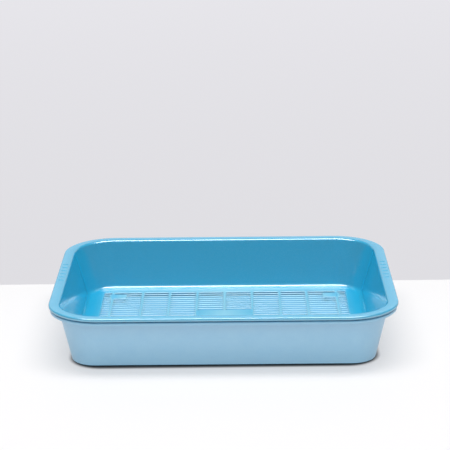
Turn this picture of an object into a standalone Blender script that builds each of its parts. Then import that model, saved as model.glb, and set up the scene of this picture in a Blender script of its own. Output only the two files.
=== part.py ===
"""Two-piece sifting litter tray: a solid base pan with a slotted sifting tray nested inside it.

Metres, +Z up. The origin is on the table, under the middle of the pan.
+X runs along the long side. Profiles are lists of (inset, height, rounding radius), where
inset is measured inward from the rim's outer outline.
"""

import math

import bmesh
import bpy

# Outline shared by both rims
RIM_LENGTH = 0.483
RIM_WIDTH = 0.381
RIM_CORNER_RADIUS = 0.0748
LEAST_CORNER_RADIUS = 0.0020
CORNER_STEPS = 8

# Heights
SIFTER_RIM_TOP = 0.0805
SIFTER_RIM_THICK = 0.0018
SIFTER_LIP_DROP = 0.0043
RIM_GAP = 0.0018
PAN_RIM_THICK = 0.0018
PAN_LIP_DROP = 0.0044
REST_CLEARANCE = 0.0003

# Base pan
PAN_SHEET = 0.0015
PAN_FLOOR_TOP = 0.0024
PAN_BASE_INSET = 0.0292
PAN_TOP_INSET = 0.0132
PAN_RIM_INSET = 0.0018
PAN_END_TAPER = 0.0030
PAN_CORNER_TIGHTEN = 0.0120
PAN_BASE_ROUND = 0.0015
PAN_FLOOR_ROUND = 0.0040
PAN_LIP_THICK = 0.0018
PAN_LEDGE_UNDERSIDE = 0.0035
PAN_LEDGE_WIDTH = 0.0175
PAN_STEP_DRAFT = 0.0006
PAN_FOOT_WIDTH = 0.0140
PAN_FOOT_HEIGHT = 0.0006

# Sifting tray
SIFTER_SHEET = 0.0015
SIFTER_FLOOR_TOP = 0.0096
SIFTER_FLOOR_INSET = 0.0339
SIFTER_TOP_INSET = 0.0150
SIFTER_END_TAPER = 0.0006
SIFTER_CORNER_TIGHTEN = 0.0
SIFTER_FLOOR_ROUND = 0.0070
SIFTER_RIM_ROUND = 0.0045
SIFTER_EDGE_ROUND = 0.0024
SIFTER_LIP_THICK = 0.0016
SIFTER_FLOOR_MARGIN = 0.0110
BEAD_INSET = 0.0090
BEAD_WIDTH = 0.0022

# Slots in the sifting floor; cross ribs are placed as shares of the field's half length
SLOT_PITCH = 0.0095
SLOT_WIDTH = 0.0058
SLOT_FIELD_INSET = 0.0575
RIB_WIDTH = 0.0040
RIB_SHARES = (0.0, 0.2255, 0.4527, 0.6766, 0.9240)
PAD_HALF_WIDTH = 0.0460

# Stand-off bosses under the sifting floor
BOSS_INSET_X = 0.0795
BOSS_INSET_Y = 0.0765
BOSS_RADIUS = 0.0100
BOSS_PATCH_RADIUS = 0.0125
BOSS_SIDES = 20

# Grip ridges on the two short rims, set a little towards the back
RIDGE_COUNT = 6
RIDGE_PITCH = 0.0148
RIDGE_WIDTH = 0.0060
RIDGE_LENGTH = 0.0095
RIDGE_INSET = 0.0080
RIDGE_HEIGHT = 0.0005
RIDGE_OFFSET = 0.0200

# Worked out from the sizes above
PAN_RIM_TOP = SIFTER_RIM_TOP - SIFTER_LIP_DROP - RIM_GAP
PAN_LEDGE_TOP = PAN_LEDGE_UNDERSIDE + PAN_SHEET
PAN_WALL_SLOPE = (PAN_BASE_INSET - PAN_TOP_INSET) / PAN_RIM_TOP
SIFTER_FLOOR_UNDERSIDE = SIFTER_FLOOR_TOP - SIFTER_SHEET
SIFTER_WALL_SLOPE = (SIFTER_FLOOR_INSET - SIFTER_TOP_INSET) / (SIFTER_RIM_TOP - SIFTER_FLOOR_TOP)
FIELD_HALF_LENGTH = RIM_LENGTH / 2 - SLOT_FIELD_INSET
FIELD_HALF_WIDTH = RIM_WIDTH / 2 - SLOT_FIELD_INSET
SLOT_ROWS = 2 * int((FIELD_HALF_WIDTH - SLOT_WIDTH / 2 + SLOT_PITCH / 2) / SLOT_PITCH)
BOSS_X = RIM_LENGTH / 2 - BOSS_INSET_X
BOSS_Y = RIM_WIDTH / 2 - BOSS_INSET_Y


def clear_scene():
    for item in list(bpy.data.objects):
        bpy.data.objects.remove(item, do_unlink=True)


def make_material(name, colour, roughness):
    material = bpy.data.materials.new(name)
    material.use_nodes = True
    shader = material.node_tree.nodes["Principled BSDF"]
    shader.inputs["Base Color"].default_value = (*colour, 1.0)
    shader.inputs["Roughness"].default_value = roughness
    shader.inputs["Metallic"].default_value = 0.0
    return material


def rounded_profile(points):
    """Replace each corner that has a radius with an arc."""
    result = []
    for index, (inset, height, radius) in enumerate(points):
        if radius == 0.0:
            result.append((inset, height))
            continue
        before = points[index - 1]
        after = points[index + 1]
        back = (before[0] - inset, before[1] - height)
        ahead = (after[0] - inset, after[1] - height)
        back_length = math.hypot(*back)
        ahead_length = math.hypot(*ahead)
        back = (back[0] / back_length, back[1] / back_length)
        ahead = (ahead[0] / ahead_length, ahead[1] / ahead_length)
        opening = math.acos(back[0] * ahead[0] + back[1] * ahead[1])
        tangent = radius / math.tan(opening / 2)
        to_centre = radius / math.sin(opening / 2)
        middle = (back[0] + ahead[0], back[1] + ahead[1])
        middle_length = math.hypot(*middle)
        centre = (inset + middle[0] / middle_length * to_centre,
                  height + middle[1] / middle_length * to_centre)
        start = (inset + back[0] * tangent, height + back[1] * tangent)
        end = (inset + ahead[0] * tangent, height + ahead[1] * tangent)
        start_angle = math.atan2(start[1] - centre[1], start[0] - centre[0])
        sweep = math.atan2(end[1] - centre[1], end[0] - centre[0]) - start_angle
        sweep = (sweep + math.pi) % (2 * math.pi) - math.pi
        steps = 2 if radius < 0.003 else 4
        for step in range(steps + 1):
            angle = start_angle + sweep * step / steps
            result.append((centre[0] + radius * math.cos(angle),
                           centre[1] + radius * math.sin(angle)))
    return result


def outline_points(inset, height, end_taper, corner_tighten):
    """Corner-rounded rectangle, anticlockwise.

    From the pan's rim down to the table the two ends lean in by end_taper more than the
    long sides, and the corners get tighter by corner_tighten.
    """
    depth = max(0.0, 1.0 - height / PAN_RIM_TOP)
    radius = max(LEAST_CORNER_RADIUS, RIM_CORNER_RADIUS - inset - corner_tighten * depth)
    centre_x = RIM_LENGTH / 2 - inset - end_taper * depth - radius
    centre_y = RIM_WIDTH / 2 - inset - radius
    points = []
    for quarter, (side_x, side_y) in enumerate(((1, 1), (-1, 1), (-1, -1), (1, -1))):
        for step in range(CORNER_STEPS + 1):
            angle = math.pi / 2 * (quarter + step / CORNER_STEPS)
            points.append((side_x * centre_x + radius * math.cos(angle),
                           side_y * centre_y + radius * math.sin(angle)))
    return points


def loft_shell(name, profile, end_taper, corner_tighten):
    """Sweep a profile round the outline and close its two ends with flat floors."""
    mesh = bmesh.new()
    rings = []
    for inset, height in profile:
        outline = outline_points(inset, height, end_taper, corner_tighten)
        rings.append([mesh.verts.new((x, y, height)) for x, y in outline])
    count = len(rings[0])
    for lower, upper in zip(rings, rings[1:]):
        for index in range(count):
            following = (index + 1) % count
            mesh.faces.new((lower[index], lower[following], upper[following], upper[index]))
    mesh.faces.new(list(reversed(rings[0])))
    mesh.faces.new(rings[-1])
    bmesh.ops.recalc_face_normals(mesh, faces=mesh.faces)
    return object_from(mesh, name)


def object_from(mesh, name):
    data = bpy.data.meshes.new(name)
    mesh.to_mesh(data)
    mesh.free()
    item = bpy.data.objects.new(name, data)
    bpy.context.scene.collection.objects.link(item)
    return item


def add_box(mesh, low, high):
    corners = [mesh.verts.new((x, y, z))
               for z in (low[2], high[2]) for y in (low[1], high[1]) for x in (low[0], high[0])]
    for face in ((0, 2, 3, 1), (4, 5, 7, 6), (0, 1, 5, 4), (2, 6, 7, 3), (0, 4, 6, 2), (1, 3, 7, 5)):
        mesh.faces.new([corners[index] for index in face])


def add_cylinder(mesh, x, y, low, high, radius):
    lower = []
    upper = []
    for step in range(BOSS_SIDES):
        angle = 2 * math.pi * step / BOSS_SIDES
        position = (x + radius * math.cos(angle), y + radius * math.sin(angle))
        lower.append(mesh.verts.new((*position, low)))
        upper.append(mesh.verts.new((*position, high)))
    for step in range(BOSS_SIDES):
        following = (step + 1) % BOSS_SIDES
        mesh.faces.new((lower[step], lower[following], upper[following], upper[step]))
    mesh.faces.new(list(reversed(lower)))
    mesh.faces.new(upper)


def combine(target, mesh, name, operation):
    """Cut or join a hidden tool object with an exact Boolean."""
    tool = object_from(mesh, name)
    tool.hide_render = True
    tool.display_type = "WIRE"
    modifier = target.modifiers.new(name, "BOOLEAN")
    modifier.operation = operation
    modifier.solver = "EXACT"
    modifier.object = tool


def pan_wall_inset(height):
    return PAN_BASE_INSET - PAN_WALL_SLOPE * height


def sifter_wall_inset(height):
    return SIFTER_FLOOR_INSET - SIFTER_WALL_SLOPE * (height - SIFTER_FLOOR_TOP)


def across_wall(sheet, slope):
    """Horizontal thickness of a sloping wall."""
    return sheet * math.hypot(1.0, slope)


def base_pan():
    """Walls on a raised ledge; the panel inside it is pressed down and stands on a flat ring."""
    wall = across_wall(PAN_SHEET, PAN_WALL_SLOPE)
    rim_under = PAN_RIM_TOP - PAN_RIM_THICK
    lip_low = PAN_RIM_TOP - PAN_LIP_DROP
    foot_outer = pan_wall_inset(PAN_LEDGE_UNDERSIDE) + PAN_LEDGE_WIDTH
    foot_inner = foot_outer + PAN_FOOT_WIDTH
    profile = rounded_profile([
        (foot_inner + 0.002, PAN_FOOT_HEIGHT, 0.0),
        (foot_inner, 0.0, 0.0),
        (foot_outer, 0.0, 0.0005),
        (foot_outer - PAN_STEP_DRAFT, PAN_LEDGE_UNDERSIDE, 0.0005),
        (pan_wall_inset(PAN_LEDGE_UNDERSIDE), PAN_LEDGE_UNDERSIDE, PAN_BASE_ROUND),
        (pan_wall_inset(rim_under), rim_under, 0.0015),
        (PAN_RIM_INSET + PAN_LIP_THICK, rim_under, 0.0006),
        (PAN_RIM_INSET + PAN_LIP_THICK, lip_low, 0.0005),
        (PAN_RIM_INSET, lip_low, 0.0007),
        (PAN_RIM_INSET, PAN_RIM_TOP, 0.0018),
        (pan_wall_inset(PAN_RIM_TOP) + wall, PAN_RIM_TOP, 0.0020),
        (pan_wall_inset(PAN_LEDGE_TOP) + wall, PAN_LEDGE_TOP, PAN_FLOOR_ROUND),
        (foot_outer + PAN_SHEET - PAN_STEP_DRAFT, PAN_LEDGE_TOP, 0.0005),
        (foot_outer + PAN_SHEET, PAN_FLOOR_TOP, 0.0005),
        (foot_inner, PAN_FLOOR_TOP, 0.0),
    ])
    return loft_shell("base_pan", profile, PAN_END_TAPER, PAN_CORNER_TIGHTEN)


def sifter_shell():
    wall = across_wall(SIFTER_SHEET, SIFTER_WALL_SLOPE)
    rim_under = SIFTER_RIM_TOP - SIFTER_RIM_THICK
    lip_low = SIFTER_RIM_TOP - SIFTER_LIP_DROP
    bead_low = PAN_RIM_TOP + REST_CLEARANCE
    floor_edge = SIFTER_FLOOR_INSET + SIFTER_FLOOR_MARGIN
    profile = rounded_profile([
        (floor_edge, SIFTER_FLOOR_UNDERSIDE, 0.0),
        (sifter_wall_inset(SIFTER_FLOOR_UNDERSIDE) - wall, SIFTER_FLOOR_UNDERSIDE,
         SIFTER_FLOOR_ROUND + SIFTER_SHEET),
        (sifter_wall_inset(rim_under) - wall, rim_under, 0.0010),
        (BEAD_INSET + BEAD_WIDTH, rim_under, 0.0),
        (BEAD_INSET + BEAD_WIDTH, bead_low, 0.0006),
        (BEAD_INSET, bead_low, 0.0006),
        (BEAD_INSET, rim_under, 0.0),
        (SIFTER_LIP_THICK, rim_under, 0.0008),
        (SIFTER_LIP_THICK, lip_low, 0.0004),
        (0.0, lip_low, 0.0006),
        (0.0, SIFTER_RIM_TOP, SIFTER_EDGE_ROUND),
        (sifter_wall_inset(SIFTER_RIM_TOP), SIFTER_RIM_TOP, SIFTER_RIM_ROUND),
        (sifter_wall_inset(SIFTER_FLOOR_TOP), SIFTER_FLOOR_TOP, SIFTER_FLOOR_ROUND),
        (floor_edge, SIFTER_FLOOR_TOP, 0.0),
    ])
    return loft_shell("sifting_tray", profile, SIFTER_END_TAPER, SIFTER_CORNER_TIGHTEN)


def slot_columns():
    """Start and end of each slot column on the +X half, ribs left out."""
    edges = [share * FIELD_HALF_LENGTH for share in RIB_SHARES]
    edges.append(FIELD_HALF_LENGTH + RIB_WIDTH / 2)
    return [(start + RIB_WIDTH / 2, end - RIB_WIDTH / 2) for start, end in zip(edges, edges[1:])]


def slot_spans(y):
    """Slot lengths on the +X half of the row at y, clear of the pad and the boss patches."""
    spans = []
    for start, end in slot_columns():
        if abs(y) < PAD_HALF_WIDTH and start < RIB_WIDTH:
            continue
        patch_low = BOSS_X - BOSS_PATCH_RADIUS
        patch_high = BOSS_X + BOSS_PATCH_RADIUS
        if abs(abs(y) - BOSS_Y) < BOSS_PATCH_RADIUS - SLOT_WIDTH / 2:
            if start < patch_low < end:
                end = patch_low
            elif start < patch_high < end:
                start = patch_high
        spans.append((start, end))
    return spans


def cut_slots(sifter):
    mesh = bmesh.new()
    low = SIFTER_FLOOR_UNDERSIDE - 0.001
    high = SIFTER_FLOOR_TOP + 0.001
    for row in range(SLOT_ROWS):
        y = (row - (SLOT_ROWS - 1) / 2) * SLOT_PITCH
        for start, end in slot_spans(y):
            for near, far in ((start, end), (-end, -start)):
                add_box(mesh, (near, y - SLOT_WIDTH / 2, low), (far, y + SLOT_WIDTH / 2, high))
    combine(sifter, mesh, "slot_cutter", "DIFFERENCE")


def add_bosses(sifter):
    mesh = bmesh.new()
    low = PAN_FLOOR_TOP + REST_CLEARANCE
    high = SIFTER_FLOOR_UNDERSIDE + SIFTER_SHEET / 2
    for side_x in (-1, 1):
        for side_y in (-1, 1):
            add_cylinder(mesh, side_x * BOSS_X, side_y * BOSS_Y, low, high, BOSS_RADIUS)
    combine(sifter, mesh, "boss_tool", "UNION")


def add_grip_ridges(sifter):
    mesh = bmesh.new()
    low = SIFTER_RIM_TOP - SIFTER_RIM_THICK / 2
    high = SIFTER_RIM_TOP + RIDGE_HEIGHT
    for side in (-1, 1):
        middle = side * (RIM_LENGTH / 2 - RIDGE_INSET)
        for index in range(RIDGE_COUNT):
            y = RIDGE_OFFSET + (index - (RIDGE_COUNT - 1) / 2) * RIDGE_PITCH
            add_box(mesh, (middle - RIDGE_LENGTH / 2, y - RIDGE_WIDTH / 2, low),
                    (middle + RIDGE_LENGTH / 2, y + RIDGE_WIDTH / 2, high))
    combine(sifter, mesh, "ridge_tool", "UNION")


def sifting_tray():
    sifter = sifter_shell()
    add_bosses(sifter)
    cut_slots(sifter)
    add_grip_ridges(sifter)
    return sifter


def finish_piece(piece, material):
    piece.data.materials.append(material)
    piece.data.shade_smooth()
    piece.data.set_sharp_from_angle(angle=math.radians(35))


clear_scene()
finish_piece(base_pan(), make_material("pan_plastic", (0.27, 0.53, 0.66), 0.28))
finish_piece(sifting_tray(), make_material("sifter_plastic", (0.16, 0.50, 0.70), 0.25))
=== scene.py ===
import math

import bmesh
import bpy
from mathutils import Matrix, Vector


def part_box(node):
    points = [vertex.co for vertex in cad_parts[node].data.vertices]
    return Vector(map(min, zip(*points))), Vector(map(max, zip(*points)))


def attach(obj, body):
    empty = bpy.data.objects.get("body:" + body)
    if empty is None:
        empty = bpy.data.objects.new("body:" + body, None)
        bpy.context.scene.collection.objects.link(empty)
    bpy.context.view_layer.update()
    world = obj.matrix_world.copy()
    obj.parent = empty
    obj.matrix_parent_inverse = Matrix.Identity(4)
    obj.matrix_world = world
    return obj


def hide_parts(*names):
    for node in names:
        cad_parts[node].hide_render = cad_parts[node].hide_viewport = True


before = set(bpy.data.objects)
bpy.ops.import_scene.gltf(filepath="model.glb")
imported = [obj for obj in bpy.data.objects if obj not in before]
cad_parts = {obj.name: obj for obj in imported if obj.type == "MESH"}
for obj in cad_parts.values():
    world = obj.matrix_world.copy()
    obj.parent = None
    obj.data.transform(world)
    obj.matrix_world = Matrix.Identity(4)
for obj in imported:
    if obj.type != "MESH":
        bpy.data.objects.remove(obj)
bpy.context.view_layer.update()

scene = bpy.context.scene
mm = 0.001
print("frame loaded:", sorted(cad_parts))

# Both rims share one outline, and every ring below is measured inward from it.
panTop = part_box("base_pan")[1].z
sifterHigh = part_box("sifting_tray")[1]
outline = {
    "halfLength": sifterHigh.x,
    "halfWidth": sifterHigh.y,
    "taperTop": panTop,
    "cornerRadius": 74.8 * mm,
    "leastCorner": 2.0 * mm,
    "cornerSteps": 22,
}

meshing = {
    "leastSteps": 3,           # on any rounded corner of a section
    "stepBase": 3,             # steps on a very tight corner that turns by stepTurn
    "stepTurn": 1.6,           # in radians
    "rubbedBelow": 3 * mm,     # outer corners tighter than this are rubbed pale
    "mergeWithin": 0.01 * mm,
    "sharpAngle": 50,
}


def roundedSection(corners):
    # corners are (inset, height, radius); a radius of 0 keeps the corner sharp
    section = []
    for index, (inset, height, radius) in enumerate(corners):
        here = Vector((inset, height))
        if radius == 0:
            section.append((inset, height, 0.0))
            continue
        toBack = (Vector(corners[index - 1][:2]) - here).normalized()
        toNext = (Vector(corners[index + 1][:2]) - here).normalized()
        halfAngle = toBack.angle(toNext) / 2
        centre = here + (toBack + toNext).normalized() * radius / math.sin(halfAngle)
        start = here + toBack * radius / math.tan(halfAngle) - centre
        end = here + toNext * radius / math.tan(halfAngle) - centre
        turn = start.angle_signed(end)
        wanted = abs(turn) * (meshing["stepBase"] + radius / mm) / meshing["stepTurn"]
        steps = max(meshing["leastSteps"], round(wanted))
        outward = start.cross(end) * toBack.cross(toNext) < 0
        rubbed = 1.0 if outward and radius < meshing["rubbedBelow"] else 0.0
        for step in range(steps + 1):
            arm = start.copy()
            arm.rotate(Matrix.Rotation(-turn * step / steps, 2))
            point = centre + arm
            section.append((point.x, point.y, rubbed))
    return section


def roundedRectangle(middle, half, radius, steps):
    points = []
    for quarter, (sideX, sideY) in enumerate(((1, 1), (-1, 1), (-1, -1), (1, -1))):
        for step in range(steps + 1):
            angle = math.pi / 2 * (quarter + step / steps)
            points.append((middle[0] + sideX * (half[0] - radius) + radius * math.cos(angle),
                           middle[1] + sideY * (half[1] - radius) + radius * math.sin(angle)))
    return points


def trayOutline(inset, height, tray):
    # towards the table the ends lean in further than the long sides, and the corners tighten
    depth = max(0, 1 - height / outline["taperTop"])
    radius = max(outline["leastCorner"], outline["cornerRadius"] - inset - tray["cornerTighten"] * depth)
    half = (outline["halfLength"] - inset - tray["endTaper"] * depth, outline["halfWidth"] - inset)
    return roundedRectangle((0, 0), half, radius, outline["cornerSteps"])


def addRing(mesh, wear, points, height, rubbed):
    ring = [mesh.verts.new((x, y, height)) for x, y in points]
    for vert in ring:
        vert[wear] = rubbed
    return ring


def skin(mesh, rings):
    for lower, upper in zip(rings, rings[1:]):
        for index, vert in enumerate(lower):
            following = (index + 1) % len(lower)
            mesh.faces.new((vert, lower[following], upper[following], upper[index]))


def sweepSection(mesh, wear, corners, tray):
    rings = [addRing(mesh, wear, trayOutline(inset, height, tray), height, rubbed)
             for inset, height, rubbed in roundedSection(corners)]
    skin(mesh, rings)
    return rings


def fillBetween(mesh, outer, inner):
    # flat faces between one closed ring of points and another inside it
    edges = []
    for ring in (outer, inner):
        for index, vert in enumerate(ring):
            following = ring[(index + 1) % len(ring)]
            edges.append(mesh.edges.get((vert, following)) or mesh.edges.new((vert, following)))
    bmesh.ops.triangle_fill(mesh, use_beauty=True, use_dissolve=False, edges=edges)


def finishMesh(mesh, name, body, node, material):
    bmesh.ops.remove_doubles(mesh, verts=mesh.verts, dist=meshing["mergeWithin"])
    bmesh.ops.recalc_face_normals(mesh, faces=mesh.faces)
    data = bpy.data.meshes.new(name)
    mesh.to_mesh(data)
    mesh.free()
    data.shade_smooth()
    data.set_sharp_from_angle(angle=math.radians(meshing["sharpAngle"]))
    data.materials.append(material)
    piece = bpy.data.objects.new(name, data)
    scene.collection.objects.link(piece)
    even = piece.modifiers.new("evenShading", "WEIGHTED_NORMAL")
    even.keep_sharp = True
    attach(piece, body)
    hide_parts(node)
    print(name, "built:", len(data.vertices), "points")
    return piece


def newGroup(name, inputs, outputs):
    group = bpy.data.node_groups.new(name, "ShaderNodeTree")
    for label, kind, value in inputs:
        socket = group.interface.new_socket(name=label, in_out="INPUT", socket_type=kind)
        socket.default_value = value
    for label, kind in outputs:
        group.interface.new_socket(name=label, in_out="OUTPUT", socket_type=kind)
    start = group.nodes.new("NodeGroupInput")
    end = group.nodes.new("NodeGroupOutput")
    return group, start, end


def addNode(tree, kind, settings=None, **values):
    node = tree.nodes.new(kind)
    for key, value in (settings or {}).items():
        setattr(node, key, value)
    for key, value in values.items():
        node.inputs[key.replace("_", " ")].default_value = value
    return node


def mathNode(tree, operation, first, second):
    node = tree.nodes.new("ShaderNodeMath")
    node.operation = operation
    for socket, value in zip(node.inputs, (first, second)):
        if isinstance(value, (int, float)):
            socket.default_value = value
        else:
            tree.links.new(value, socket)
    return node.outputs[0]


def vectorNode(tree, operation, first, second=None):
    node = addNode(tree, "ShaderNodeVectorMath", {"operation": operation})
    tree.links.new(first, node.inputs[0])
    if second is not None:
        node.inputs[1].default_value = second
    return node


def mixColours(tree, amount, first, second):
    node = tree.nodes.new("ShaderNodeMix")
    node.data_type = "RGBA"
    for socket, value in ((node.inputs[0], amount), (node.inputs[6], first), (node.inputs[7], second)):
        if isinstance(value, bpy.types.NodeSocket):
            tree.links.new(value, socket)
        else:
            socket.default_value = value
    return node.outputs[2]


def pearlFlakeGroup():
    # mica flakes in the plastic, each a little lighter or darker, over slow moulding streaks
    group, start, end = newGroup("pearlFlake", [
        ("Plastic Colour", "NodeSocketColor", (0.2, 0.5, 0.7, 1)),
        ("Flake Colour", "NodeSocketColor", (0.6, 0.85, 0.95, 1)),
        ("Streak Colour", "NodeSocketColor", (0.15, 0.4, 0.6, 1)),
        ("Flakes Per Metre", "NodeSocketFloat", 1800.0),
        ("Flake Contrast", "NodeSocketFloat", 2.2),
        ("Flake Amount", "NodeSocketFloat", 0.2),
        ("Streaks Per Metre", "NodeSocketVector", (14.0, 14.0, 1.6)),
        ("Streak Amount", "NodeSocketFloat", 0.1),
    ], [("Colour", "NodeSocketColor")])
    place = addNode(group, "ShaderNodeTexCoord")
    cells = addNode(group, "ShaderNodeTexVoronoi", {"feature": "F1"}, Randomness=1.0)
    group.links.new(place.outputs["Object"], cells.inputs["Vector"])
    group.links.new(start.outputs["Flakes Per Metre"], cells.inputs["Scale"])
    split = addNode(group, "ShaderNodeSeparateColor")
    group.links.new(cells.outputs["Color"], split.inputs[0])
    flake = mathNode(group, "POWER", split.outputs[0], start.outputs["Flake Contrast"])
    stretch = addNode(group, "ShaderNodeMapping")
    group.links.new(place.outputs["Object"], stretch.inputs["Vector"])
    group.links.new(start.outputs["Streaks Per Metre"], stretch.inputs["Scale"])
    streak = addNode(group, "ShaderNodeTexNoise", Scale=1.0, Detail=3.0, Roughness=0.55)
    group.links.new(stretch.outputs["Vector"], streak.inputs["Vector"])
    streakMask = mathNode(group, "MULTIPLY", streak.outputs["Fac"], start.outputs["Streak Amount"])
    flakeMask = mathNode(group, "MULTIPLY", flake, start.outputs["Flake Amount"])
    streaked = mixColours(group, streakMask, start.outputs["Plastic Colour"], start.outputs["Streak Colour"])
    flaked = mixColours(group, flakeMask, streaked, start.outputs["Flake Colour"])
    group.links.new(flaked, end.inputs["Colour"])
    return group


def mouldedSkinGroup():
    # gentle waves of a moulded sheet, its fine grain, and handling smudges in the gloss
    group, start, end = newGroup("mouldedSkin", [
        ("Waves Per Metre", "NodeSocketFloat", 26.0),
        ("Wave Amount", "NodeSocketFloat", 1.0),
        ("Grains Per Metre", "NodeSocketFloat", 1400.0),
        ("Grain Amount", "NodeSocketFloat", 0.1),
        ("Gloss", "NodeSocketFloat", 0.25),
        ("Smudges Per Metre", "NodeSocketFloat", 17.0),
        ("Smudge Amount", "NodeSocketFloat", 0.1),
    ], [("Height", "NodeSocketFloat"), ("Roughness", "NodeSocketFloat")])
    place = addNode(group, "ShaderNodeTexCoord")
    waves = addNode(group, "ShaderNodeTexNoise", Detail=1.0, Roughness=0.4)
    grain = addNode(group, "ShaderNodeTexNoise", Detail=2.0, Roughness=0.5)
    smudge = addNode(group, "ShaderNodeTexNoise", Detail=5.0, Roughness=0.62)
    for texture, label in ((waves, "Waves"), (grain, "Grains"), (smudge, "Smudges")):
        group.links.new(place.outputs["Object"], texture.inputs["Vector"])
        group.links.new(start.outputs[label + " Per Metre"], texture.inputs["Scale"])
    waveHeight = mathNode(group, "MULTIPLY", waves.outputs["Fac"], start.outputs["Wave Amount"])
    grainHeight = mathNode(group, "MULTIPLY", grain.outputs["Fac"], start.outputs["Grain Amount"])
    height = mathNode(group, "ADD", waveHeight, grainHeight)
    group.links.new(height, end.inputs["Height"])
    centred = mathNode(group, "SUBTRACT", smudge.outputs["Fac"], 0.5)
    smudged = mathNode(group, "MULTIPLY", centred, start.outputs["Smudge Amount"])
    roughness = mathNode(group, "ADD", start.outputs["Gloss"], smudged)
    group.links.new(roughness, end.inputs["Roughness"])
    return group


def edgeRubGroup():
    # the moulded edges are a shade paler and duller where they are handled and stacked
    group, start, end = newGroup("edgeRub", [
        ("Colour", "NodeSocketColor", (0.2, 0.5, 0.7, 1)),
        ("Rubbed Colour", "NodeSocketColor", (0.5, 0.75, 0.88, 1)),
        ("Roughness", "NodeSocketFloat", 0.25),
        ("Added Roughness", "NodeSocketFloat", 0.25),
        ("Patches Per Metre", "NodeSocketFloat", 55.0),
        ("Amount", "NodeSocketFloat", 0.3),
    ], [("Colour", "NodeSocketColor"), ("Roughness", "NodeSocketFloat")])
    edge = addNode(group, "ShaderNodeAttribute", {"attribute_name": "edgeRub"})
    place = addNode(group, "ShaderNodeTexCoord")
    patches = addNode(group, "ShaderNodeTexNoise", Detail=4.0, Roughness=0.6)
    group.links.new(place.outputs["Object"], patches.inputs["Vector"])
    group.links.new(start.outputs["Patches Per Metre"], patches.inputs["Scale"])
    broken = mathNode(group, "MULTIPLY", edge.outputs["Fac"], patches.outputs["Fac"])
    mask = mathNode(group, "MULTIPLY", broken, start.outputs["Amount"])
    tint = mixColours(group, mask, start.outputs["Colour"], start.outputs["Rubbed Colour"])
    group.links.new(tint, end.inputs["Colour"])
    duller = mathNode(group, "MULTIPLY", mask, start.outputs["Added Roughness"])
    group.links.new(mathNode(group, "ADD", start.outputs["Roughness"], duller), end.inputs["Roughness"])
    return group


def mattSheenPanelGroup():
    # the slotted panel is moulded with a fine matt texture, which raises its roughness; its colour is also
    # mixed paler, a painted sheen for the light its rounded bars scatter
    group, start, end = newGroup("mattSheenPanel", [
        ("Colour", "NodeSocketColor", (0.2, 0.5, 0.7, 1)),
        ("Frosted Colour", "NodeSocketColor", (0.5, 0.75, 0.88, 1)),
        ("Roughness", "NodeSocketFloat", 0.25),
        ("Added Roughness", "NodeSocketFloat", 0.2),
        ("Specks Per Metre", "NodeSocketFloat", 420.0),
        ("Unevenness", "NodeSocketFloat", 0.4),
        ("Amount", "NodeSocketFloat", 0.5),
    ], [("Colour", "NodeSocketColor"), ("Roughness", "NodeSocketFloat")])
    panel = addNode(group, "ShaderNodeAttribute", {"attribute_name": "mattAndSheen"})
    place = addNode(group, "ShaderNodeTexCoord")
    specks = addNode(group, "ShaderNodeTexNoise", Detail=2.0, Roughness=0.6)
    group.links.new(place.outputs["Object"], specks.inputs["Vector"])
    group.links.new(start.outputs["Specks Per Metre"], specks.inputs["Scale"])
    centred = mathNode(group, "SUBTRACT", specks.outputs["Fac"], 0.5)
    uneven = mathNode(group, "ADD", mathNode(group, "MULTIPLY", centred, start.outputs["Unevenness"]), 1)
    mattAndSheen = mathNode(group, "MULTIPLY", panel.outputs["Fac"], uneven)
    mask = mathNode(group, "MULTIPLY", mattAndSheen, start.outputs["Amount"])
    tint = mixColours(group, mask, start.outputs["Colour"], start.outputs["Frosted Colour"])
    group.links.new(tint, end.inputs["Colour"])
    duller = mathNode(group, "MULTIPLY", mattAndSheen, start.outputs["Added Roughness"])
    group.links.new(mathNode(group, "ADD", start.outputs["Roughness"], duller), end.inputs["Roughness"])
    return group


pearlFlake = pearlFlakeGroup()
mouldedSkin = mouldedSkinGroup()
edgeRub = edgeRubGroup()
mattSheenPanel = mattSheenPanelGroup()


def pearlPlastic(name, look):
    material = bpy.data.materials.new(name)
    material.use_nodes = True
    tree = material.node_tree
    shader = tree.nodes["Principled BSDF"]
    shader.inputs["IOR"].default_value = look["pearl"]
    shader.inputs["Coat Weight"].default_value = look["coat"]
    shader.inputs["Coat Roughness"].default_value = look["coatRoughness"]

    flake = addNode(tree, "ShaderNodeGroup", {"node_tree": pearlFlake},
                    Plastic_Colour=look["plastic"], Flake_Colour=look["flake"],
                    Streak_Colour=look["streak"], Flake_Amount=look["flakeAmount"],
                    Streak_Amount=look["streakAmount"])
    surface = addNode(tree, "ShaderNodeGroup", {"node_tree": mouldedSkin},
                      Gloss=look["gloss"], Smudge_Amount=look["smudge"],
                      Wave_Amount=look["waves"], Grain_Amount=look["grain"])
    rub = addNode(tree, "ShaderNodeGroup", {"node_tree": edgeRub},
                  Rubbed_Colour=look["rubbed"], Amount=look["rubAmount"])
    tree.links.new(flake.outputs["Colour"], rub.inputs["Colour"])
    tree.links.new(surface.outputs["Roughness"], rub.inputs["Roughness"])
    finish = rub
    # the slotted panel gets its matt roughness and a painted sheen, mixed paler into its colour
    if "paintedSheen" in look:
        finish = addNode(tree, "ShaderNodeGroup", {"node_tree": mattSheenPanel},
                         Frosted_Colour=look["paintedSheen"], Amount=look["paintedSheenAmount"],
                         Added_Roughness=look["frostRoughness"])
        tree.links.new(rub.outputs["Colour"], finish.inputs["Colour"])
        tree.links.new(rub.outputs["Roughness"], finish.inputs["Roughness"])
    tree.links.new(finish.outputs["Colour"], shader.inputs["Base Color"])
    tree.links.new(finish.outputs["Roughness"], shader.inputs["Roughness"])
    bump = addNode(tree, "ShaderNodeBump", Strength=look["bump"], Distance=look["bumpDepth"])
    tree.links.new(surface.outputs["Height"], bump.inputs["Height"])
    tree.links.new(bump.outputs["Normal"], shader.inputs["Normal"])
    return material


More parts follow.
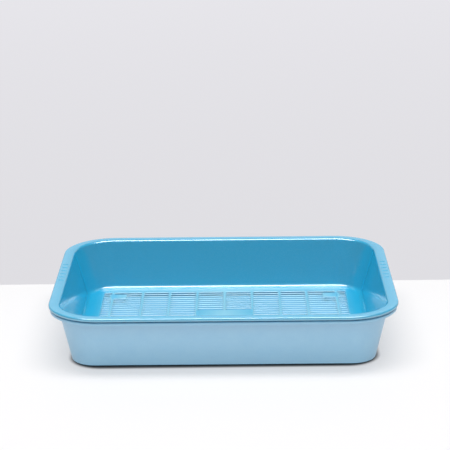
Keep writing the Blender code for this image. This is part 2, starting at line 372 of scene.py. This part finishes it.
panLook = {
    "plastic": (0.13, 0.47, 0.74, 1),
    "flake": (0.30, 0.66, 0.86, 1),
    "streak": (0.045, 0.36, 0.64, 1),
    "rubbed": (0.30, 0.62, 0.80, 1),
    "flakeAmount": 0.14,
    "streakAmount": 0.25,
    "rubAmount": 0.5,
    "pearl": 2.8,              # index of refraction: higher looks more pearly
    "gloss": 0.36,
    "smudge": 0.06,
    "coat": 0.3,
    "coatRoughness": 0.05,
    "waves": 0.4,
    "grain": 0.05,
    "bump": 0.35,
    "bumpDepth": 0.2 * mm,
}

pan = {
    "rimTop": panTop,
    "rimThickness": 1.8 * mm,
    "lipDrop": 4.4 * mm,
    "lipThickness": 1.8 * mm,
    "sheet": 1.5 * mm,
    "floor": 2.4 * mm,
    "baseInset": 29.2 * mm,
    "topInset": 13.2 * mm,
    "rimInset": 1.8 * mm,
    "endTaper": 3.0 * mm,
    "cornerTighten": 12.0 * mm,
    "ledgeUnderside": 3.5 * mm,
    "ledgeWidth": 17.5 * mm,
    "stepDraft": 0.6 * mm,
    "footWidth": 14.0 * mm,
    "footHeight": 0.6 * mm,
    "footSlope": 0.6 * mm,
    "footFlat": 3.0 * mm,
    "footRound": 0.3 * mm,
    "ringRound": 0.5 * mm,
    "stepRound": 0.6 * mm,
    "wallRound": 1.5 * mm,
    "floorRound": 4.0 * mm,
    "lipRootRound": 0.6 * mm,
    "lipInnerRound": 0.5 * mm,
    "lipOuterRound": 0.7 * mm,
    "rimOuterRound": 1.8 * mm,
    "rimInnerRound": 2.0 * mm,
}


def buildPan():
    slope = (pan["baseInset"] - pan["topInset"]) / pan["rimTop"]
    across = pan["sheet"] * math.hypot(1, slope)
    underRim = pan["rimTop"] - pan["rimThickness"]
    lipLow = pan["rimTop"] - pan["lipDrop"]
    lipInner = pan["rimInset"] + pan["lipThickness"]
    ledgeTop = pan["ledgeUnderside"] + pan["sheet"]

    def wallInset(height):
        return pan["baseInset"] - slope * height

    footOuter = wallInset(pan["ledgeUnderside"]) + pan["ledgeWidth"]
    footInner = footOuter + pan["footWidth"]
    mesh = bmesh.new()
    wear = mesh.verts.layers.float.new("edgeRub")
    rings = sweepSection(mesh, wear, [
        (footInner + pan["footFlat"], pan["footHeight"], 0),
        (footInner + pan["footSlope"], pan["footHeight"], pan["footRound"]),
        (footInner, 0, pan["footRound"]),
        (footOuter, 0, pan["ringRound"]),
        (footOuter - pan["stepDraft"], pan["ledgeUnderside"], pan["stepRound"]),
        (wallInset(pan["ledgeUnderside"]), pan["ledgeUnderside"], pan["wallRound"]),
        (wallInset(underRim), underRim, pan["wallRound"]),
        (lipInner, underRim, pan["lipRootRound"]),
        (lipInner, lipLow, pan["lipInnerRound"]),
        (pan["rimInset"], lipLow, pan["lipOuterRound"]),
        (pan["rimInset"], pan["rimTop"], pan["rimOuterRound"]),
        (wallInset(pan["rimTop"]) + across, pan["rimTop"], pan["rimInnerRound"]),
        (wallInset(ledgeTop) + across, ledgeTop, pan["floorRound"]),
        (footOuter + pan["sheet"] - pan["stepDraft"], ledgeTop, pan["stepRound"]),
        (footOuter + pan["sheet"], pan["floor"], pan["stepRound"]),
        (footInner, pan["floor"], 0),
    ], pan)
    mesh.faces.new(list(reversed(rings[0])))
    mesh.faces.new(rings[-1])
    return finishMesh(mesh, "basePan", "pan", "base_pan",
                      pearlPlastic("panPearl", panLook))


basePan = buildPan()


sifterLook = {
    "plastic": (0.007, 0.322, 0.535, 1),
    "flake": (0.16, 0.58, 0.80, 1),
    "streak": (0.006, 0.34, 0.60, 1),
    "rubbed": (0.30, 0.66, 0.86, 1),
    "flakeAmount": 0.12,
    "streakAmount": 0.25,
    "rubAmount": 0.25,
    "pearl": 2.8,
    "gloss": 0.18,
    "smudge": 0.06,
    "coat": 0.3,
    "coatRoughness": 0.04,
    "waves": 0.4,
    "grain": 0.05,
    "bump": 0.35,
    "bumpDepth": 0.2 * mm,
    # the slotted panel's painted sheen colour and amount, and its matt roughness
    "paintedSheen": (0.23, 0.51, 0.625, 1),
    "paintedSheenAmount": 0.85,
    "frostRoughness": 0.22,
}

sifter = {
    "rimTop": sifterHigh.z - 0.5 * mm,
    "rimThickness": 1.8 * mm,
    "lipDrop": 4.3 * mm,
    "lipThickness": 1.6 * mm,
    "sheet": 1.5 * mm,
    "floorTop": 9.6 * mm,
    "floorInset": 33.9 * mm,
    "topInset": 15.0 * mm,
    "endTaper": 0.6 * mm,
    "cornerTighten": 0,
    "floorRing": 44.9 * mm,
    "beadInset": 9.0 * mm,
    "beadWidth": 2.2 * mm,
    "beadLow": panTop + 0.3 * mm,
    "floorRound": 7.0 * mm,
    "rimUnderRound": 1.0 * mm,
    "beadRound": 0.6 * mm,
    "lipRootRound": 0.8 * mm,
    "lipInnerRound": 0.4 * mm,
    "lipOuterRound": 0.6 * mm,
    "rimOuterRound": 2.4 * mm,
    "rimInnerRound": 4.5 * mm,
}

slots = {
    "rows": 28,
    "pitch": 9.5 * mm,
    "width": 5.8 * mm,
    "ribWidth": 4.0 * mm,
    "ribs": (0, 41.49 * mm, 83.30 * mm, 124.49 * mm, 170.02 * mm),
    "fieldEnd": 184.0 * mm,
    "endRadius": 1.5 * mm,
    "endSteps": 3,
    "edgeRadius": 1.3 * mm,
    "edgeSteps": 3,
    "undersideShare": 0.5,     # how much of the top edge's rounding the underside has
    "padHalfWidth": 46 * mm,
}

# each foot flares into the floor and has a rounded tip, as (added radius, height)
boss = {
    "x": 162 * mm,
    "y": 114 * mm,
    "radius": 10 * mm,
    "patch": 12.5 * mm,
    "low": pan["floor"] + 0.3 * mm,
    "sides": 36,
    "flare": ((0.8 * mm, 0.2 * mm), (0.2 * mm, -0.5 * mm), (0, -1.2 * mm)),
    "tip": ((0, 0.5 * mm), (-0.15 * mm, 0.15 * mm), (-0.5 * mm, 0)),
}

ridges = {
    "count": 6,
    "pitch": 14.8 * mm,
    "offset": 20 * mm,
    "width": 6.0 * mm,
    "length": 9.5 * mm,
    "inset": 8.0 * mm,
    "height": 0.5 * mm,
    "cornerRadius": 2.6 * mm,
    "cornerSteps": 4,
    "crown": ((0, -0.3), (0, 0.08), (0.5 * mm, 0.42),      # (shrink, share of the height)
              (1.1 * mm, 0.74), (1.7 * mm, 0.93), (2.3 * mm, 1.0)),
}

# where the slotted panel's matt roughness and painted sheen reach, and how much of them the ribs get
mattAndSheenArea = {
    "depth": 0.8 * mm,
    "fullTo": 172 * mm,
    "noneFrom": 188 * mm,
    "onRibs": 0.45,
    "reach": 0.1 * mm,         # past the ring where the flat floor starts
}


def slotSpan(columnLow, columnHigh, y):
    # where the slot of one cell starts and ends along +X, or None where the floor stays solid
    start = columnLow + slots["ribWidth"] / 2
    end = columnHigh - slots["ribWidth"] / 2
    if abs(y) < slots["padHalfWidth"] and columnLow == 0:
        return None
    if abs(abs(y) - boss["y"]) < boss["patch"] - slots["width"] / 2:
        if start < boss["x"] - boss["patch"] < end:
            end = boss["x"] - boss["patch"]
        elif start < boss["x"] + boss["patch"] < end:
            start = boss["x"] + boss["patch"]
    return start, end


def slotWall():
    # (outset, height) down one side of a slot, rounded at the top and a little at the underside
    top = sifter["floorTop"]
    low = top - sifter["sheet"]
    mouth = []
    for step in range(slots["edgeSteps"] + 1):
        angle = math.pi / 2 * step / slots["edgeSteps"]
        mouth.append((slots["edgeRadius"] * (1 - math.sin(angle)),
                      slots["edgeRadius"] * (1 - math.cos(angle))))
    share = slots["undersideShare"]
    return ([(outset, top - drop) for outset, drop in mouth]
            + [(outset * share, low + drop * share) for outset, drop in reversed(mouth)])


def slotRing(mesh, wear, span, y, outset, height):
    middle = ((span[0] + span[1]) / 2, y)
    half = ((span[1] - span[0]) / 2 + outset, slots["width"] / 2 + outset)
    points = roundedRectangle(middle, half, slots["endRadius"] + outset, slots["endSteps"])
    rubbed = 1.0 if height > sifter["floorTop"] - slots["edgeRadius"] else 0.0
    return addRing(mesh, wear, points, height, rubbed)


def cellFaces(mesh, corners, ring):
    # flat faces from a slot's mouth out to the four corners of its cell
    onArc = slots["endSteps"] + 1
    for quarter in range(4):
        arc = ring[quarter * onArc: (quarter + 1) * onArc]
        for first, second in zip(arc, arc[1:]):
            mesh.faces.new((corners[quarter], second, first))
        following = (quarter + 1) % 4
        mesh.faces.new((corners[quarter], corners[following], ring[following * onArc], arc[-1]))


def buildSlottedFloor(mesh, wear, topRing, lowRing):
    top = sifter["floorTop"]
    low = top - sifter["sheet"]
    wall = slotWall()
    fieldEdge = slots["fieldEnd"] + slots["ribWidth"] / 2
    columns = [-fieldEdge] + [-x for x in reversed(slots["ribs"][1:])] + list(slots["ribs"]) + [fieldEdge]
    rowEdges = [(row - slots["rows"] / 2) * slots["pitch"] for row in range(slots["rows"] + 1)]
    grids = {}
    for height in (top, low):
        grids[height] = [[mesh.verts.new((x, y, height)) for y in rowEdges] for x in columns]

    for column in range(len(columns) - 1):
        near, far = sorted((abs(columns[column]), abs(columns[column + 1])))
        for row in range(slots["rows"]):
            y = (rowEdges[row] + rowEdges[row + 1]) / 2
            span = slotSpan(near, far, y)
            corners = {}
            for height, grid in grids.items():
                corners[height] = [grid[column + 1][row + 1], grid[column][row + 1],
                                   grid[column][row], grid[column + 1][row]]
            if span is None:
                for height in grids:
                    mesh.faces.new(corners[height])
                continue
            if columns[column] < 0:
                span = (-span[1], -span[0])
            rings = [slotRing(mesh, wear, span, y, outset, height) for outset, height in wall]
            skin(mesh, rings)
            cellFaces(mesh, corners[top], rings[0])
            cellFaces(mesh, corners[low], rings[-1])

    for height, ring in ((top, topRing), (low, lowRing)):
        grid = grids[height]
        border = ([column[0] for column in grid] + grid[-1][1:]
                  + [column[-1] for column in reversed(grid[:-1])] + list(reversed(grid[0][1:-1])))
        fillBetween(mesh, ring, border)


def addBossesTo(mesh, wear):
    # shallow feet that carry the sifting floor over the pan
    floorLow = sifter["floorTop"] - sifter["sheet"]
    profile = [(boss["radius"] + added, floorLow + rise) for added, rise in boss["flare"]]
    profile += [(boss["radius"] + added, boss["low"] + rise) for added, rise in boss["tip"]]
    turns = [math.tau * step / boss["sides"] for step in range(boss["sides"])]
    for sideX in (-1, 1):
        for sideY in (-1, 1):
            rings = []
            for radius, height in profile:
                points = [(sideX * boss["x"] + radius * math.cos(turn),
                           sideY * boss["y"] + radius * math.sin(turn)) for turn in turns]
                rings.append(addRing(mesh, wear, points, height, 0.0))
            skin(mesh, rings)
            mesh.faces.new(rings[-1])


def addRidgesTo(mesh, wear):
    # low rounded bars across the two short rims
    for side in (-1, 1):
        for index in range(ridges["count"]):
            middle = (side * (outline["halfLength"] - ridges["inset"]),
                      ridges["offset"] + (index - (ridges["count"] - 1) / 2) * ridges["pitch"])
            rings = []
            for shrink, share in ridges["crown"]:
                half = (ridges["length"] / 2 - shrink, ridges["width"] / 2 - shrink)
                radius = ridges["cornerRadius"] - shrink
                points = roundedRectangle(middle, half, radius, ridges["cornerSteps"])
                height = sifter["rimTop"] + share * ridges["height"]
                rings.append(addRing(mesh, wear, points, height, max(0.0, share)))
            skin(mesh, rings)
            mesh.faces.new(rings[-1])


def paintMattAndSheen(mesh):
    # 1 on the slotted panel, less along the ribs, fading to 0 in the plain margins at its two ends; this
    # mask sets both the matt roughness and the painted sheen
    mattAndSheen = mesh.verts.layers.float.new("mattAndSheen")
    halfWidth = outline["halfWidth"] - sifter["floorRing"] + mattAndSheenArea["reach"]
    fadeLength = mattAndSheenArea["noneFrom"] - mattAndSheenArea["fullTo"]
    for vert in mesh.verts:
        across, along, height = vert.co
        if abs(height - sifter["floorTop"]) < mattAndSheenArea["depth"] and abs(along) < halfWidth:
            onRib = any(abs(abs(across) - rib) < meshing["mergeWithin"] for rib in slots["ribs"][1:])
            most = mattAndSheenArea["onRibs"] if onRib else 1
            vert[mattAndSheen] = min(most, max(0, (mattAndSheenArea["noneFrom"] - abs(across)) / fadeLength))


def buildSifter():
    floorLow = sifter["floorTop"] - sifter["sheet"]
    slope = (sifter["floorInset"] - sifter["topInset"]) / (sifter["rimTop"] - sifter["floorTop"])
    across = sifter["sheet"] * math.hypot(1, slope)
    underRim = sifter["rimTop"] - sifter["rimThickness"]
    lipLow = sifter["rimTop"] - sifter["lipDrop"]
    beadOuter = sifter["beadInset"]
    beadInner = beadOuter + sifter["beadWidth"]

    def wallInset(height):
        return sifter["floorInset"] - slope * (height - sifter["floorTop"])

    mesh = bmesh.new()
    wear = mesh.verts.layers.float.new("edgeRub")
    rings = sweepSection(mesh, wear, [
        (sifter["floorRing"], floorLow, 0),
        (wallInset(floorLow) - across, floorLow, sifter["floorRound"] + sifter["sheet"]),
        (wallInset(underRim) - across, underRim, sifter["rimUnderRound"]),
        (beadInner, underRim, 0),
        (beadInner, sifter["beadLow"], sifter["beadRound"]),
        (beadOuter, sifter["beadLow"], sifter["beadRound"]),
        (beadOuter, underRim, 0),
        (sifter["lipThickness"], underRim, sifter["lipRootRound"]),
        (sifter["lipThickness"], lipLow, sifter["lipInnerRound"]),
        (0, lipLow, sifter["lipOuterRound"]),
        (0, sifter["rimTop"], sifter["rimOuterRound"]),
        (wallInset(sifter["rimTop"]), sifter["rimTop"], sifter["rimInnerRound"]),
        (wallInset(sifter["floorTop"]), sifter["floorTop"], sifter["floorRound"]),
        (sifter["floorRing"], sifter["floorTop"], 0),
    ], sifter)
    buildSlottedFloor(mesh, wear, rings[-1], rings[0])
    addBossesTo(mesh, wear)
    addRidgesTo(mesh, wear)
    paintMattAndSheen(mesh)
    return finishMesh(mesh, "siftingTray", "sifter", "sifting_tray",
                      pearlPlastic("sifterPearl", sifterLook))


siftingTray = buildSifter()


studio = {
    "boardHalfLength": 4.0,
    "boardFront": -6.0,
    "boardBack": 0.208,
    "boardTurn": 0.4,
    "boardColour": (0.30, 0.294, 0.292, 1),
    "boardRoughness": 0.6,
    "boardMottle": 0.98,
    # painted light: the board's glow lifts its shading and fades into a painted shadow round the tray
    "boardPaintedGlow": (0.52, 0.52, 0.53, 1),
    "paintedShadowCorner": 45 * mm,     # in from the pan's base, where the distance for the painted glow and its painted shadow starts
    "paintedShadowEdge": 42.5 * mm,
    "paintedShadowSoftness": 9 * mm,
    "groundHalf": 30.0,
    "groundDrop": 1 * mm,
    "groundNear": (0.735, 0.728, 0.760, 1),
    "groundFar": (0.795, 0.787, 0.825, 1),
    "groundDepth": 3.0,
}


def paintedBoard():
    material = bpy.data.materials.new("boardPaint")
    material.use_nodes = True
    tree = material.node_tree
    shader = tree.nodes["Principled BSDF"]
    shader.inputs["Roughness"].default_value = studio["boardRoughness"]
    shader.inputs["Emission Strength"].default_value = 1
    place = addNode(tree, "ShaderNodeTexCoord")
    mottle = addNode(tree, "ShaderNodeTexNoise", Scale=1.3, Detail=3.0)
    tree.links.new(place.outputs["Object"], mottle.inputs["Vector"])
    darker = tuple(channel * studio["boardMottle"] for channel in studio["boardColour"][:3]) + (1,)
    mottled = mixColours(tree, mottle.outputs["Fac"], studio["boardColour"], darker)
    tree.links.new(mottled, shader.inputs["Base Color"])
    # painted light: the board glows though it is no lamp, and the glow fades out round the tray's base as a
    # painted contact shadow
    inset = pan["baseInset"] + studio["paintedShadowCorner"]
    offMiddle = vectorNode(tree, "ABSOLUTE", place.outputs["Object"])
    past = vectorNode(tree, "SUBTRACT", offMiddle.outputs[0],
                      (outline["halfLength"] - inset, outline["halfWidth"] - inset, 0))
    outside = vectorNode(tree, "MAXIMUM", past.outputs[0])
    away = vectorNode(tree, "LENGTH", outside.outputs[0])
    fade = addNode(tree, "ShaderNodeMapRange", {"interpolation_type": "SMOOTHSTEP"},
                   From_Min=studio["paintedShadowEdge"], From_Max=studio["paintedShadowEdge"] + studio["paintedShadowSoftness"])
    tree.links.new(away.outputs["Value"], fade.inputs["Value"])
    glow = mixColours(tree, fade.outputs["Result"], (0, 0, 0, 1), studio["boardPaintedGlow"])
    tree.links.new(glow, shader.inputs["Emission Color"])
    return material


def glowingGround():
    # an evenly lit paper sweep, a little brighter further back
    material = bpy.data.materials.new("groundPaper")
    material.use_nodes = True
    tree = material.node_tree
    shader = tree.nodes["Principled BSDF"]
    shader.inputs["Base Color"].default_value = (0, 0, 0, 1)
    shader.inputs["Roughness"].default_value = 0.9
    shader.inputs["Specular IOR Level"].default_value = 0
    shader.inputs["Emission Strength"].default_value = 1
    place = addNode(tree, "ShaderNodeTexCoord")
    split = addNode(tree, "ShaderNodeSeparateXYZ")
    tree.links.new(place.outputs["Object"], split.inputs[0])
    far = mathNode(tree, "MINIMUM", mathNode(tree, "DIVIDE", split.outputs[1], studio["groundDepth"]), 1)
    glow = mixColours(tree, far, studio["groundNear"], studio["groundFar"])
    tree.links.new(glow, shader.inputs["Emission Color"])
    return material


def addPlane(name, low, high, height, turn, material):
    data = bpy.data.meshes.new(name)
    corners = [(low[0], low[1], 0), (high[0], low[1], 0), (high[0], high[1], 0), (low[0], high[1], 0)]
    data.from_pydata(corners, [], [(0, 1, 2, 3)])
    data.materials.append(material)
    plane = bpy.data.objects.new(name, data)
    plane.location.z = height
    plane.rotation_euler.z = math.radians(turn)
    scene.collection.objects.link(plane)
    return plane


addPlane("board", (-studio["boardHalfLength"], studio["boardFront"]),
         (studio["boardHalfLength"], studio["boardBack"]), 0, studio["boardTurn"], paintedBoard())
addPlane("ground", (-studio["groundHalf"], -studio["groundHalf"]),
         (studio["groundHalf"], studio["groundHalf"]), -studio["groundDrop"], 0, glowingGround())
print("studio laid")


# only the strip and the back panel are mirrored in the gloss; the other two light softly
lightSet = {
    "softbox": {"place": (0, -0.1, 2.2), "aim": (0, 0, 0), "size": (2.2, 1.8),
                "power": 26, "mirrored": False},
    "strip": {"place": (0, -0.05, 2.2), "aim": (0, 0, 0), "size": (2.4, 0.72),
              "power": 44, "mirrored": True},
    "frontFill": {"place": (0, -2.2, 1.9), "aim": (0, 0, 0), "size": (3.4, 1.4),
                  "power": 34, "mirrored": False},
    "backPanel": {"place": (0, 3.4, 1.4), "aim": (0, 0, 0.1), "size": (6, 2.4),
                  "power": 22, "mirrored": True},
}
for name, light in lightSet.items():
    lamp = bpy.data.lights.new(name, "AREA")
    lamp.shape = "RECTANGLE"
    lamp.size, lamp.size_y = light["size"]
    lamp.energy = light["power"]
    holder = bpy.data.objects.new(name, lamp)
    holder.location = light["place"]
    towards = Vector(light["aim"]) - Vector(light["place"])
    holder.rotation_euler = towards.to_track_quat("-Z", "Y").to_euler()
    holder.visible_camera = False
    holder.visible_glossy = light["mirrored"]
    scene.collection.objects.link(holder)

studioAir = {"colour": (0.97, 0.975, 1.0, 1), "strength": 0.14}
world = bpy.data.worlds.new("studioAir")
world.use_nodes = True
world.node_tree.nodes["Background"].inputs["Color"].default_value = studioAir["colour"]
world.node_tree.nodes["Background"].inputs["Strength"].default_value = studioAir["strength"]
scene.world = world
scene.view_settings.view_transform = "Standard"
print("lights placed")


view = {
    "place": (0.0215, -2.3504, 0.8440),
    "turn": 0.460,
    "tilt": 16.340,
    "roll": -0.680,
    "sensor": 36,
    "lens": 136.75,
    "farthest": 100,
}
cameraData = bpy.data.cameras.new("mainCamera")
cameraData.sensor_width = view["sensor"]
cameraData.lens = view["lens"]
cameraData.clip_end = view["farthest"]
camera = bpy.data.objects.new("mainCamera", cameraData)
camera.matrix_world = (Matrix.Translation(view["place"])
                       @ Matrix.Rotation(math.radians(view["turn"]), 4, "Z")
                       @ Matrix.Rotation(math.radians(90 - view["tilt"]), 4, "X")
                       @ Matrix.Rotation(math.radians(view["roll"]), 4, "Z"))
scene.collection.objects.link(camera)
scene.camera = camera
print("camera placed")
